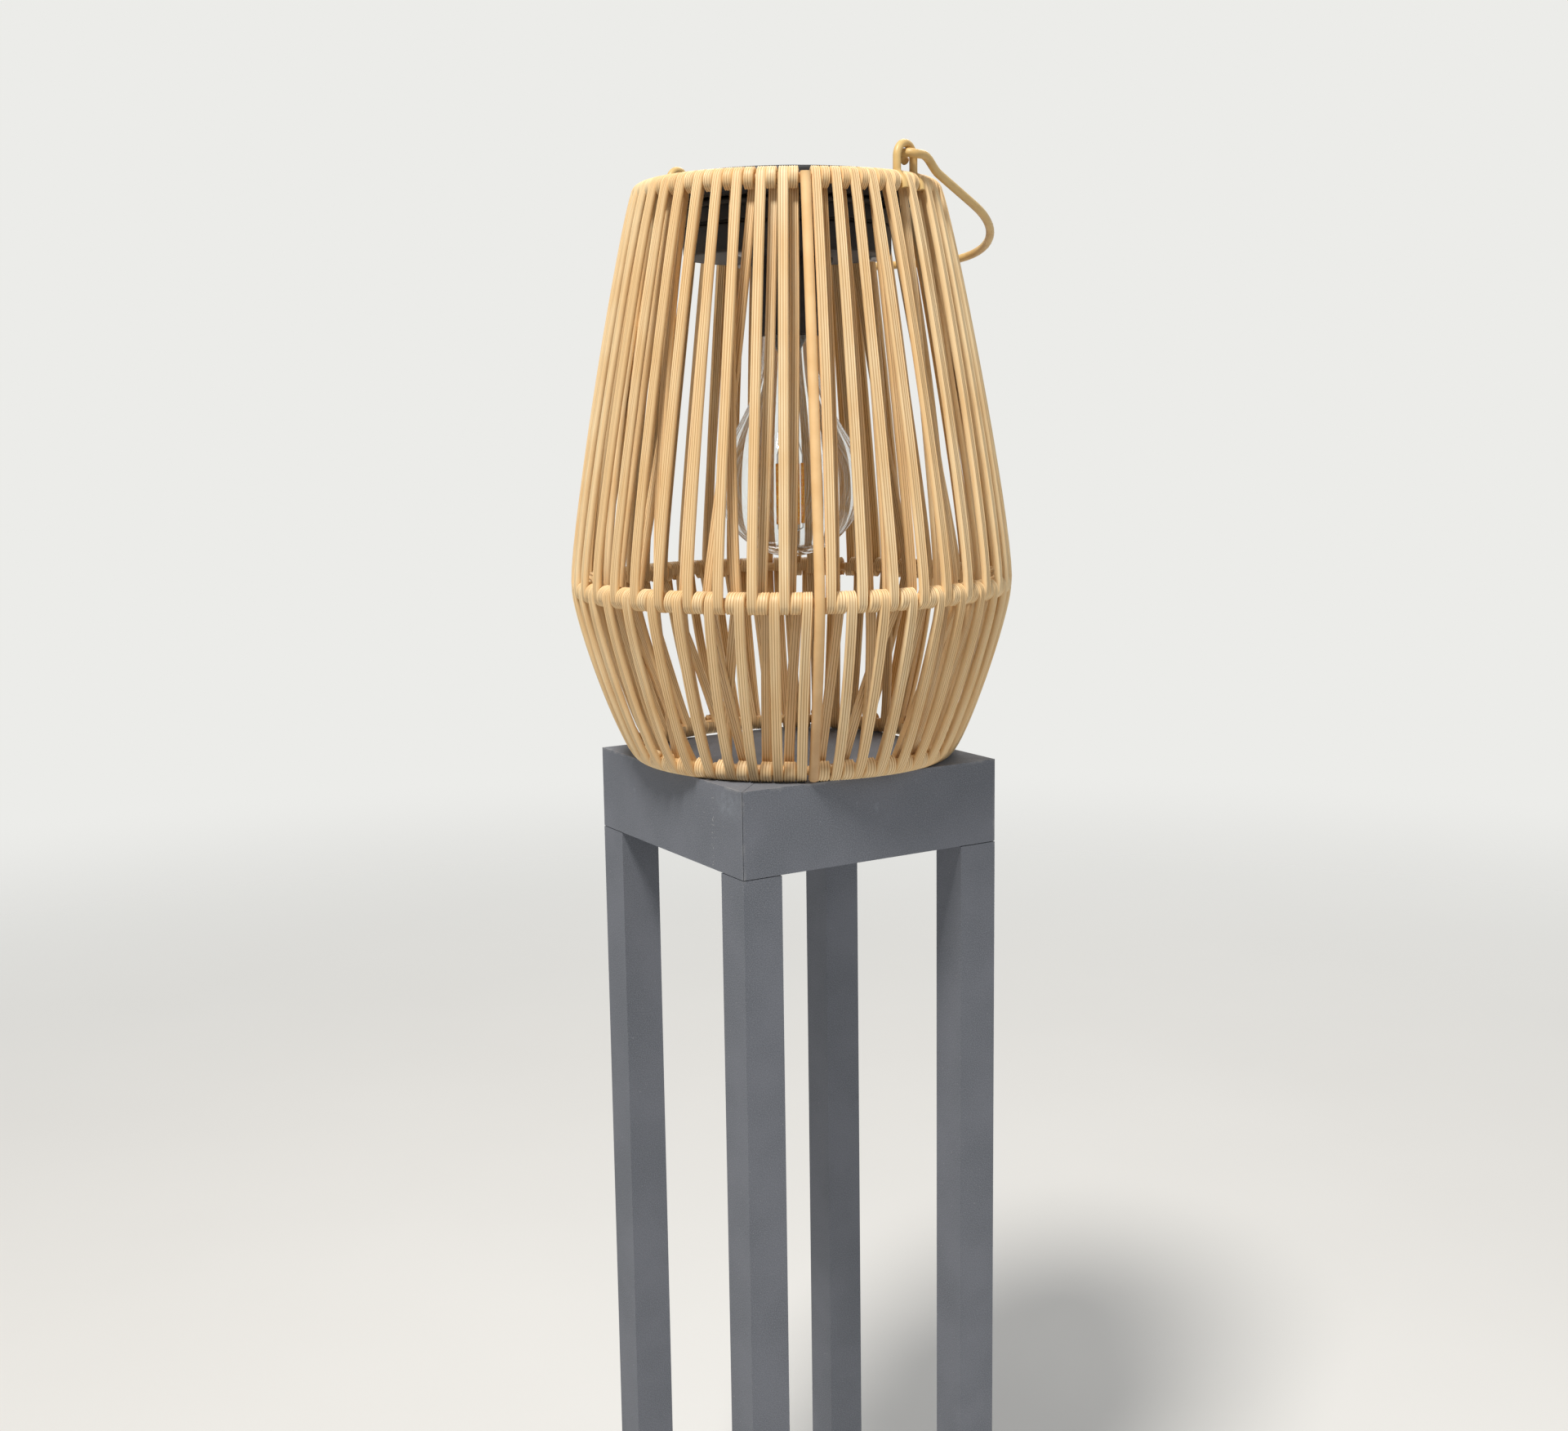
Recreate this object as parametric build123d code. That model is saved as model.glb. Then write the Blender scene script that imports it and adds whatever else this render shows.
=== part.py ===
from build123d import *
import math
import os

os.makedirs("parts", exist_ok=True)

# Stand, in millimetres. The origin is on the floor under its centre and +Z is up.
stand_height = 500.0
stand_side = 140.0
apron_height = 40.0
tube_size = 20.0
tube_wall = 1.5
tube_clearance = 0.2
mitre_gap = 0.15
leg_seam = 0.4
leg_plug_depth = 25.0
apron_plug_depth = 30.0
foot_height = 4.0
foot_plug_depth = 14.0
pan_thickness = 1.5
pan_lip = 15.0
pan_clearance = 0.2

# Lantern frame. Ring radii are to the wire's centre and heights are above the stand.
top_ring_radius = 67.7
waist_ring_radius = 100.6
bottom_ring_radius = 74.1
waist_ring_height = 83.5
top_ring_height = 265.3
ring_wire = 4.4
rib_wire = 4.7
rib_margin = 1.2
ring_sides = 36
wire_sides = 8
half_turn = 180.0
rib_angle = -115.0
rest_gap = 0.1

# Rattan strands, in units of an outer and an inner strand.
units_per_half = 22
units_before_eye = 5
strand_thickness = 2.8
strand_gap = 0.2
seat_gap = 0.1
hook_length = 2.0
upper_bow_radius = 88.7
upper_bow_height = 197.0
lower_bow_radius = 90.0
lower_bow_height = 27.6
layer_gap = 0.6

# Handle and its two eyes.
eye_wire = 3.7
eye_rise = 17.2
eye_turn = 45.0
eye_arc_steps = 6
handle_wire = 4.0
handle_clearance = 0.3
handle_side_gap = 0.6
handle_reach = 108.0
handle_fold = 21.25
handle_corner = 55.0
handle_corner_steps = 5
handle_bend = 3.2
handle_tail = 7.0

# Inner seat of the lamp unit.
seat_ring_radius = 52.6
seat_wire = 3.5
seat_sides = 24
seat_drop = 9.0
bracket_thickness = 1.5
bracket_width = 3.2

# Solar lamp unit. Drops are below the top ring's centre.
rim_radius = 58.0
rim_rise = 6.8
rim_chamfer = 2.0
housing_radius = 49.0
housing_wall = 2.2
housing_sides = 24
seam_drop = 15.7
housing_drop = 28.8
base_chamfer = 2.0
seal_height = 1.0
seal_inset = 0.6
panel_side = 66.0
panel_thickness = 2.5
panel_recess = 0.5
panel_clearance = 0.2
deck_thickness = 2.5
boss_radius = 4.0
boss_circle_radius = 41.0
screw_radius = 1.5
screw_head_radius = 3.0
screw_head_height = 1.8
screw_grip = 8.0
screw_clearance = 0.1
cell_radius = 7.1
cell_length = 50.0
cell_offset = -12.0
cradle_wall = 1.5
contact_thickness = 0.6
contact_side = 9.0
board_length = 44.0
board_width = 26.0
board_thickness = 1.6
board_offset = 21.0
board_rail = 2.0
lead_side = 1.2
lead_spacing = 3.0
lead_offset = 3.0
lead_hole_margin = 1.0
switch_offset = -31.0
switch_side = 9.0
switch_height = 8.0
button_radius = 4.5
button_height = 2.5
button_travel = 1.5
button_stem_radius = 2.5
button_clearance = 0.35
button_sides = 12

# Lamp socket and bulb. Drops are below the top ring's centre.
socket_radius = 17.0
socket_mouth_radius = 15.6
socket_wall = 2.2
socket_drop = 64.5
socket_sides = 20
bulb_radius = 35.2
bulb_drop = 133.5
bulb_neck_radius = 12.2
bulb_sides = 16
neck_inset = 2.0
bulb_wall = 1.0
cap_height = 24.0
cap_clearance = 0.3
stem_radius = 3.0
stem_drop = 113.3
filament_count = 4
filament_side = 1.8
filament_circle_radius = 7.0
filament_top_drop = 124.3
filament_foot_drop = 153.3


def save(name, *shapes):
    solids = [solid for shape in shapes for solid in shape.solids()]
    export_step(Compound(children=solids), f"parts/{name}.step")


def block(length, width, low, high, x=0.0, y=0.0):
    return Pos(x, y, (low + high) / 2) * Box(length, width, high - low)


def faceted(levels, sides):
    """Turned form with flat facets, through (radius, height) levels from low to high."""
    turns = [360 * i / sides for i in range(sides)]
    rows = [[Vector(r, 0, z).rotate(Axis.Z, turn) for turn in turns] for r, z in levels]
    outlines = [rows[0], rows[-1]]
    for low, high in zip(rows, rows[1:]):
        outlines += [(low[i - 1], low[i], high[i], high[i - 1]) for i in range(sides)]
    return Solid(Shell([Face(Wire.make_polygon(outline)) for outline in outlines]))


def prism(radius, low, high, sides):
    return faceted([(radius, low), (radius, high)], sides)


def wire_ring(radius, height, wire, sides):
    half = wire / 2
    flat = half * math.cos(math.pi / 6)
    rises = ((half / 2, -flat), (half, 0), (half / 2, flat))
    outside = faceted([(radius + out, height + up) for out, up in rises], sides)
    flat_share = math.cos(math.pi / sides)
    inside = faceted([((radius - out) / flat_share, height + up) for out, up in rises], sides)
    return outside - inside


def strip(path, thickness, width):
    """Flat strip along a path of (radius, height) points, standing in the XZ plane."""
    points = [Vector(*point) for point in path]
    runs = [(b - a).normalized() for a, b in zip(points, points[1:])]
    left = []
    right = []
    for i, point in enumerate(points):
        before = runs[max(i - 1, 0)]
        after = runs[min(i, len(runs) - 1)]
        along = (before + after).normalized()
        across = Vector(-along.Y, along.X)
        reach = thickness / 2 / across.dot(Vector(-before.Y, before.X))
        left.append(point + across * reach)
        right.append(point - across * reach)
    outline = make_face(Polyline(*left, *reversed(right), close=True))
    return extrude(Plane.XZ * outline, width / 2, both=True)


def bent_wire(points, wire):
    path = Polyline(*points)
    section = Plane(path @ 0, z_dir=path % 0) * RegularPolygon(wire / 2, wire_sides)
    return sweep(section, path=path, transition=Transition.RIGHT)


def arc_points(centre_x, centre_y, radius, start, end, steps):
    angles = [math.radians(start + (end - start) * i / steps) for i in range(steps + 1)]
    return [(centre_x + radius * math.cos(a), centre_y + radius * math.sin(a)) for a in angles]


def turned(shape, angle):
    return Rot(0, 0, angle) * shape


# Stand
apron_foot = stand_height - apron_height
leg_top = apron_foot - leg_seam
corner = (stand_side - tube_size) / 2
bore = tube_size - 2 * tube_wall
plug_side = bore - 2 * tube_clearance
corners = {
    "front_left": (-corner, -corner),
    "front_right": (corner, -corner),
    "back_left": (-corner, corner),
    "back_right": (corner, corner),
}


def make_apron():
    bar = block(stand_side, tube_size, apron_foot, stand_height, y=-corner)
    bar -= block(stand_side, bore, apron_foot + tube_wall, stand_height - tube_wall, y=-corner)
    far = mitre_gap + stand_side
    wedge = Polygon((0, -mitre_gap), (-stand_side, -far), (stand_side, -far), align=None)
    bar &= extrude(Plane.XY.offset(apron_foot) * wedge, apron_height)
    for x in (-corner, corner):
        bar -= block(bore, bore, apron_foot, apron_foot + tube_wall, x, -corner)
    return bar


def make_leg(x, y):
    tube = block(tube_size, tube_size, foot_height, leg_top, x, y)
    return tube - block(bore, bore, foot_height, leg_top, x, y)


def make_foot_cap(x, y):
    flange = block(tube_size, tube_size, 0, foot_height, x, y)
    return flange + block(plug_side, plug_side, foot_height, foot_height + foot_plug_depth, x, y)


def make_connector(x, y):
    return block(plug_side, plug_side, leg_top - leg_plug_depth, apron_foot + apron_plug_depth, x, y)


def make_top_pan():
    side = stand_side - 2 * tube_size - 2 * pan_clearance
    hollow = side - 2 * pan_thickness
    pan = block(side, side, stand_height - pan_lip, stand_height)
    return pan - block(hollow, hollow, stand_height - pan_lip, stand_height - pan_thickness)


apron = make_apron()
for name, angle in (("front", 0), ("right", 90), ("back", 180), ("left", 270)):
    save(f"apron_{name}", turned(apron, angle))
for name, (x, y) in corners.items():
    save(f"leg_{name}", make_leg(x, y))
save("foot_caps", *[make_foot_cap(x, y) for x, y in corners.values()])
save("corner_connectors", *[make_connector(x, y) for x, y in corners.values()])
save("top_pan", make_top_pan())

# Lantern frame
lantern_foot = stand_height + rest_gap
wrap_half = ring_wire / 2 + seat_gap + strand_thickness
bottom_z = lantern_foot + wrap_half
waist_z = lantern_foot + waist_ring_height
top_z = lantern_foot + top_ring_height
rings = {
    "top": (top_ring_radius, top_z),
    "waist": (waist_ring_radius, waist_z),
    "bottom": (bottom_ring_radius, bottom_z),
}
for name, (radius, height) in rings.items():
    save(f"{name}_ring", wire_ring(radius, height, ring_wire, ring_sides))

rib_angles = [rib_angle, rib_angle + half_turn]
rib_out = (ring_wire + rib_wire) / 2 + seat_gap
rib_gap = math.degrees((rib_wire + 2 * rib_margin) / (top_ring_radius + rib_out))
rib_path = [
    (top_ring_radius + rib_out, 0, top_z + ring_wire / 2),
    (top_ring_radius + rib_out, 0, top_z - ring_wire / 2),
    (upper_bow_radius - rib_wire / 2, 0, lantern_foot + upper_bow_height),
    (waist_ring_radius + rib_out, 0, waist_z),
    (lower_bow_radius - rib_wire / 2, 0, lantern_foot + lower_bow_height),
    (bottom_ring_radius + rib_out, 0, bottom_z),
    (bottom_ring_radius + rib_out, 0, bottom_z - ring_wire / 2),
]
rib = bent_wire(rib_path, rib_wire)
save("frame_ribs", *[turned(rib, angle) for angle in rib_angles])

# Rattan strands
foot_gap = math.degrees((eye_wire + 3 * strand_gap) / top_ring_radius)
eye_pitch = (eye_turn - rib_gap / 2 - foot_gap) / (units_before_eye + 0.5)
units_after_eye = units_per_half - units_before_eye - 1
after_eye = eye_turn + eye_pitch / 2 + foot_gap
plain_pitch = (half_turn - rib_gap / 2 - after_eye) / units_after_eye
strand_room = min(top_ring_radius / 2, waist_ring_radius / 3) * math.radians(eye_pitch)
strand_width = strand_room - strand_gap
lay = ring_wire / 2 + seat_gap + strand_thickness / 2
cut = lay * math.tan(math.pi / 8)


def units():
    """Angle and pitch of each unit. Each half turn starts at a rib and has one unit inside its eye."""
    found = []
    for start in rib_angles:
        for i in range(units_before_eye):
            found.append((start + rib_gap / 2 + eye_pitch * (i + 0.5), eye_pitch))
        found.append((start + eye_turn, eye_pitch))
        for i in range(units_after_eye):
            found.append((start + after_eye + plain_pitch * (i + 0.5), plain_pitch))
    return found


upper_bow = (upper_bow_radius - strand_thickness / 2, lantern_foot + upper_bow_height)
lower_bow = (lower_bow_radius - strand_thickness / 2, lantern_foot + lower_bow_height)
layer = strand_thickness + layer_gap
upper_outer_path = [
    (top_ring_radius - hook_length, top_z + lay),
    (top_ring_radius + cut, top_z + lay),
    (top_ring_radius + lay, top_z + cut),
    upper_bow,
    (waist_ring_radius + lay, waist_z + 2 * lay),
    (waist_ring_radius + lay, waist_z - lay),
    (waist_ring_radius - hook_length, waist_z - lay),
]
upper_inner_path = [
    (top_ring_radius + lay, top_z - hook_length),
    (top_ring_radius + lay, top_z + cut),
    (top_ring_radius + cut, top_z + lay),
    (top_ring_radius - lay, top_z + lay),
    (top_ring_radius - lay, top_z - hook_length),
    (upper_bow[0] - 2 * layer, upper_bow[1]),
    (waist_ring_radius - hook_length, waist_z + wrap_half + seat_gap + strand_gap),
]
lower_outer_path = [
    (waist_ring_radius - hook_length, waist_z + lay),
    (waist_ring_radius + lay, waist_z + lay),
    (waist_ring_radius + lay, waist_z - lay),
    lower_bow,
    (bottom_ring_radius + lay, bottom_z - lay),
    (bottom_ring_radius - hook_length, bottom_z - lay),
]
lower_inner_path = [
    (waist_ring_radius + lay, waist_z - hook_length),
    (waist_ring_radius + lay, waist_z + lay),
    (waist_ring_radius - lay, waist_z + lay),
    (waist_ring_radius - lay, waist_z - hook_length),
    (lower_bow[0] - 2 * layer, lower_bow[1]),
    (bottom_ring_radius, bottom_z + ring_wire / 2 + strand_thickness / 2),
]
first_slot = -1 / 4
strands = {
    "upper_outer_strands": (upper_outer_path, first_slot),
    "upper_inner_strands": (upper_inner_path, first_slot + 1 / 2),
    "lower_inner_strands": (lower_inner_path, first_slot + 1 / 3),
    "lower_outer_strands": (lower_outer_path, first_slot + 2 / 3),
}
for name, (path, slot) in strands.items():
    strand = strip(path, strand_thickness, strand_width)
    save(name, *[turned(strand, angle + slot * pitch) for angle, pitch in units()])

# Inner seat
shelf_z = top_z - seat_drop
bracket_radius = top_ring_radius - ring_wire / 2 - seat_gap - bracket_thickness / 2
bracket_path = [
    (bracket_radius, top_z + ring_wire / 2),
    (bracket_radius, shelf_z),
    (seat_ring_radius - seat_wire / 2, shelf_z),
]
bracket = strip(bracket_path, bracket_thickness, bracket_width)
foot_angles = [angle + after_eye - foot_gap / 2 for angle in rib_angles]
save("seat_brackets", *[turned(bracket, angle) for angle in rib_angles + foot_angles])
seat_flat = seat_wire / 2 * math.cos(math.pi / 6)
seat_z = shelf_z + bracket_thickness / 2 + seat_gap / 2 + seat_flat
save("seat_ring", wire_ring(seat_ring_radius, seat_z, seat_wire, seat_sides))

# Handle
eye_angle = rib_angle + eye_turn
eye_half = top_ring_radius * math.sin(math.radians((eye_pitch + foot_gap) / 2))
eye_foot_z = top_z + ring_wire / 2 * math.cos(math.pi / 6) + seat_gap
eye_points = [(-eye_half, eye_foot_z)]
eye_points += arc_points(0, top_z + eye_rise - eye_half, eye_half, 180, 0, eye_arc_steps)
eye_points += [(eye_half, eye_foot_z)]
eye = bent_wire([(top_ring_radius, s, z) for s, z in eye_points], eye_wire)
save("handle_eyes", turned(eye, eye_angle), turned(eye, eye_angle + 180))

axis_z = top_z + eye_rise - eye_wire / 2 - handle_clearance - handle_wire / 2
side_step = eye_wire / 2 + handle_side_gap + handle_wire / 2
handle_half = top_ring_radius + side_step
tail_half = top_ring_radius - side_step


def handle_side():
    points = [(tail_half, handle_tail)]
    points += arc_points(tail_half + handle_bend, handle_bend, handle_bend, 180, 270, 2)
    points += arc_points(handle_half - handle_bend, handle_bend, handle_bend, 270, 360, 2)
    corner_x = handle_half - handle_corner
    corner_y = handle_reach - handle_corner
    return points + arc_points(corner_x, corner_y, handle_corner, 0, 90, handle_corner_steps)


fold = math.radians(handle_fold)
right_side = handle_side()
left_side = [(-x, y) for x, y in reversed(right_side)]
handle_route = [(x, y * math.cos(fold), axis_z - y * math.sin(fold)) for x, y in right_side + left_side]
save("bail_handle", turned(bent_wire(handle_route, handle_wire), eye_angle))

# Housing of the lamp unit
rim_foot = seat_z + seat_flat + rest_gap
rim_top = top_z + rim_rise
seam_z = top_z - seam_drop
base_z = top_z - housing_drop
floor_z = base_z + housing_wall
cavity_radius = housing_radius - housing_wall
seal_radius = housing_radius - seal_inset
deck_z = rim_top - panel_recess - panel_thickness - deck_thickness
shell_foot = seam_z + seal_height
screw_bore = screw_radius + screw_clearance
screw_places = PolarLocations(boss_circle_radius, 3, start_angle=90).locations
lead_slot_length = 2 * lead_spacing + lead_side + 2 * lead_hole_margin
lead_slot_width = lead_side + 2 * lead_hole_margin
stem_bore = button_stem_radius + button_clearance


def at_screws(shape):
    return [place * shape for place in screw_places]


def make_housing_top():
    rim_levels = [
        (rim_radius, rim_foot),
        (rim_radius, rim_top - rim_chamfer),
        (rim_radius - rim_chamfer, rim_top),
    ]
    shell = prism(housing_radius, shell_foot, rim_foot, housing_sides)
    shell += faceted(rim_levels, housing_sides)
    shell -= prism(cavity_radius, shell_foot, deck_z, housing_sides)
    recess = panel_side + 2 * panel_clearance
    shell -= block(recess, recess, deck_z + deck_thickness, rim_top)
    boss = prism(boss_radius, shell_foot, deck_z, 8)
    boss -= prism(screw_bore, shell_foot, shell_foot + screw_grip + screw_clearance, 8)
    for piece in at_screws(boss):
        shell += piece
    return shell


def make_housing_base():
    cup_levels = [
        (housing_radius - base_chamfer, base_z),
        (housing_radius, base_z + base_chamfer),
        (housing_radius, seam_z),
    ]
    cup = faceted(cup_levels, housing_sides)
    cup -= prism(cavity_radius, floor_z, seam_z, housing_sides)
    for piece in at_screws(prism(boss_radius, floor_z, seam_z, 8)):
        cup += piece
    for piece in at_screws(prism(screw_bore, base_z, seam_z, 8)):
        cup -= piece
    for y in (board_offset - board_width / 4, board_offset + board_width / 4):
        cup += block(board_length, board_rail, floor_z, floor_z + board_rail, y=y)
    cup -= block(lead_slot_length, lead_slot_width, base_z, floor_z, y=lead_offset)
    cup -= Pos(0, switch_offset, 0) * prism(stem_bore, base_z, floor_z, button_sides)
    return cup


def make_seal():
    ring = prism(seal_radius, seam_z, shell_foot, housing_sides)
    return ring - prism(cavity_radius, seam_z, shell_foot, housing_sides)


def make_screw():
    head = prism(screw_head_radius, base_z - screw_head_height, base_z, 8)
    return head + prism(screw_radius, base_z, shell_foot + screw_grip, 8)


save("housing_top", make_housing_top())
save("housing_base", make_housing_base())
save("housing_seal", make_seal())
save("housing_screws", *at_screws(make_screw()))
panel_foot = deck_z + deck_thickness
save("solar_panel", block(panel_side, panel_side, panel_foot, panel_foot + panel_thickness))

# Electrics inside the housing
cell_z = floor_z + cradle_wall + cell_radius
cradle_length = cell_length + 2 * (contact_thickness + cradle_wall + seat_gap)
cradle_width = 2 * (cell_radius + cradle_wall)
bay_length = cradle_length - 2 * cradle_wall
cell_place = Pos(0, cell_offset, cell_z) * Rot(0, 90, 0)
save("battery", cell_place * prism(cell_radius, -cell_length / 2, cell_length / 2, 16))
cradle = block(cradle_length, cradle_width, floor_z, cell_z, y=cell_offset)
cradle -= cell_place * prism(cell_radius + seat_gap, -bay_length / 2, bay_length / 2, 16)
save("battery_cradle", cradle)
contact_x = cell_length / 2 + seat_gap / 2 + contact_thickness / 2
contact_low = cell_z - contact_side / 2
contact_pair = [
    block(contact_thickness, contact_side, contact_low, contact_low + contact_side, x, cell_offset)
    for x in (-contact_x, contact_x)
]
save("battery_contacts", *contact_pair)
board_z = floor_z + board_rail
save("circuit_board", block(board_length, board_width, board_z, board_z + board_thickness, y=board_offset))

lead_z = board_z + board_thickness + lead_side / 2
lead_path = [
    (board_offset - board_width / 4, lead_z),
    (lead_offset, lead_z),
    (lead_offset, base_z - socket_wall),
]
lead = Rot(0, 0, 90) * strip(lead_path, lead_side, lead_side)
save("lamp_leads", Pos(-lead_spacing, 0, 0) * lead, Pos(lead_spacing, 0, 0) * lead)

bore_top = floor_z + switch_height - cradle_wall
switch = block(switch_side, switch_side, floor_z, floor_z + switch_height, y=switch_offset)
switch -= Pos(0, switch_offset, 0) * prism(stem_bore, floor_z, bore_top, button_sides)
save("switch_body", switch)
button_top = base_z - button_travel - button_clearance
stem_top = bore_top - button_travel - button_clearance
button = prism(button_radius, button_top - button_height, button_top, button_sides)
button += prism(button_stem_radius, button_top, stem_top, button_sides)
save("switch_button", Pos(0, switch_offset, 0) * button)

# Socket and bulb
socket_foot = top_z - socket_drop
socket_bore = socket_mouth_radius - socket_wall
socket_roof = base_z - socket_wall
socket = faceted([(socket_mouth_radius, socket_foot), (socket_radius, base_z)], socket_sides)
socket -= prism(socket_bore, socket_foot, socket_roof, socket_sides)
socket -= block(lead_slot_length, lead_slot_width, socket_roof, base_z, y=lead_offset)
save("lamp_socket", socket)

neck_z = socket_foot + neck_inset
cap_radius = socket_bore - cap_clearance
save("bulb_cap", prism(cap_radius, neck_z, neck_z + cap_height, 16))
bulb_z = top_z - bulb_drop


def bulb_levels(radius, neck, top):
    """Globe below and a flared neck above, meeting where both lean alike."""
    leans = [math.radians(lean) for lean in (-82, -55, -28, 0, 28)]
    globe = [(radius * math.cos(lean), bulb_z + radius * math.sin(lean)) for lean in leans]
    join_radius, join_z = globe[-1]
    shares = ((0.62, 0.30), (0.28, 0.58), (0.06, 0.85), (0.0, 1.0))
    flare = [(neck + (join_radius - neck) * out, join_z + (top - join_z) * up) for out, up in shares]
    return globe + flare


glass = faceted(bulb_levels(bulb_radius, bulb_neck_radius, neck_z), bulb_sides)
glass -= faceted(bulb_levels(bulb_radius - bulb_wall, bulb_neck_radius - bulb_wall, neck_z), bulb_sides)
save("bulb_glass", glass)

stem_z = top_z - stem_drop
flare_radius = bulb_neck_radius - 2 * bulb_wall
save("bulb_stem", faceted([(stem_radius, stem_z), (stem_radius, socket_foot), (flare_radius, neck_z)], 12))
filament_path = [
    (stem_radius + filament_side / 2 + seat_gap, stem_z + filament_side),
    (filament_circle_radius, top_z - filament_top_drop),
    (filament_circle_radius, top_z - filament_foot_drop),
]
filament = strip(filament_path, filament_side, filament_side)
save("bulb_filaments", *[turned(filament, 360 * i / filament_count) for i in range(filament_count)])
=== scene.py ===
import math
import random

import bpy
import numpy as np
from mathutils import Matrix, Vector


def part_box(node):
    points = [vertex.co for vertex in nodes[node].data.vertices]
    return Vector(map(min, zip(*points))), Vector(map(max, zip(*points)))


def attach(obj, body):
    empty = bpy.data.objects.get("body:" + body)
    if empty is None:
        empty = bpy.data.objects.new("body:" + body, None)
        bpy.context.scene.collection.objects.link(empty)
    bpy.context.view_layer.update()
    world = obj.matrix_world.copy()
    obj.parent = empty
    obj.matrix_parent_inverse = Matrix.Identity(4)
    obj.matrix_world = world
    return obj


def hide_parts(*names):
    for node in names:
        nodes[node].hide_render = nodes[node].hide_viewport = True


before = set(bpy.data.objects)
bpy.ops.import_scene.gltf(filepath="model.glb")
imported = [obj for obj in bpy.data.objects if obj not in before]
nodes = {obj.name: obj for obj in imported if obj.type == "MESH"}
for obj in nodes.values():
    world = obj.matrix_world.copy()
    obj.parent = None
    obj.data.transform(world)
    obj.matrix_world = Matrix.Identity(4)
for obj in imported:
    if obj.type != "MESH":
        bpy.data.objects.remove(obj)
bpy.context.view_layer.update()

# Sizes in metres that the frame's boxes don't give.
ring_wire = 0.0044
rib_wire = 0.0047
rib_margin = 0.0001
rib_foot = 0.0038
seat_gap = 0.0001
seat_wire = 0.0035
strand_gap = 0.0002
strand_thickness = 0.0028
strand_width = 0.0047
coil_width = 0.0057
crossing_bow = 0.0017
eye_wire = 0.0037
eye_rise = 0.0172
handle_wire = 0.0040
handle_clearance = 0.0003
handle_side_gap = 0.0006
handle_reach = 0.108
handle_corner = 0.055
handle_bend = 0.0032
handle_tail = 0.007
handle_hump = 0.0028
hump_length = 0.021
stand_edge = 0.0011
small_edge = 0.0003

# Marks on the stand's left side, in metres along it from its middle and below its top.
rub_along = -0.057
rub_below = 0.008
specks_along = -0.043

# Angles in degrees.
half_turn = 180.0
rib_angle = -115.0
eye_turn = 45.0
handle_fold = 21.25
wrap_step = 15
wrap_slant = 0.9
top_jitter = 0.32
waist_jitter = 0.4
inner_waist_jitter = 1.3
foot_jitter = 0.35
strand_sway = 0.3
strand_roll = 9

# Counts, shares and seed of the windings. A bend is the share of a run that a curved end takes.
units_per_half = 22
units_before_eye = 5
crossing_step = 3
crossing_share = 0.6
groove_depth = 0.26
upper_bend = 0.08
lower_bend = 0.12
rib_upper_bend = 0.12
rib_lower_bend = 0.2
strand_seed = 11

# Camera, as fitted to the photograph: lengths in metres, angles in degrees.
camera_distance = 0.90719
camera_rise = 0.16401
camera_turn = -31.58
camera_yaw = -0.284
camera_pitch = 9.098
camera_roll = -0.781
focal_pixels = 2299.17
image_width = 1920
sensor_width = 36.0


def ring_of(node, wire):
    """Radius to the wire's centre, and height, of a ring in the frame."""
    low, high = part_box(node)
    return (high.x - low.x - wire) / 2, (high.z + low.z) / 2


top_ring = ring_of("top_ring", ring_wire)
waist_ring = ring_of("waist_ring", ring_wire)
bottom_ring = ring_of("bottom_ring", ring_wire)
stand_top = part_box("top_pan")[1].z
stand_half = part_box("apron_front")[1].x
apron_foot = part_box("apron_front")[0].z
lay = ring_wire / 2 + seat_gap + strand_thickness / 2


# Shader maths
class Value:
    """A shader socket that can stand in Python arithmetic."""

    def __init__(self, shader, socket):
        self.shader = shader
        self.socket = socket

    def maths(self, operation, first, second=0.0):
        return self.shader.node("Math", {"operation": operation}, {0: first, 1: second})

    def __add__(self, other):
        return self.maths("ADD", self, other)

    def __sub__(self, other):
        return self.maths("SUBTRACT", self, other)

    def __rsub__(self, other):
        return self.maths("SUBTRACT", other, self)

    def __mul__(self, other):
        return self.maths("MULTIPLY", self, other)

    def __pow__(self, other):
        return self.maths("POWER", self, other)

    def __abs__(self):
        return self.maths("ABSOLUTE", self)

    __radd__ = __add__
    __rmul__ = __mul__

    def least(self, other):
        return self.maths("MINIMUM", self, other)

    def most(self, other):
        return self.maths("MAXIMUM", self, other)

    def folded(self, span):
        return self.maths("PINGPONG", self, span)


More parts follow.
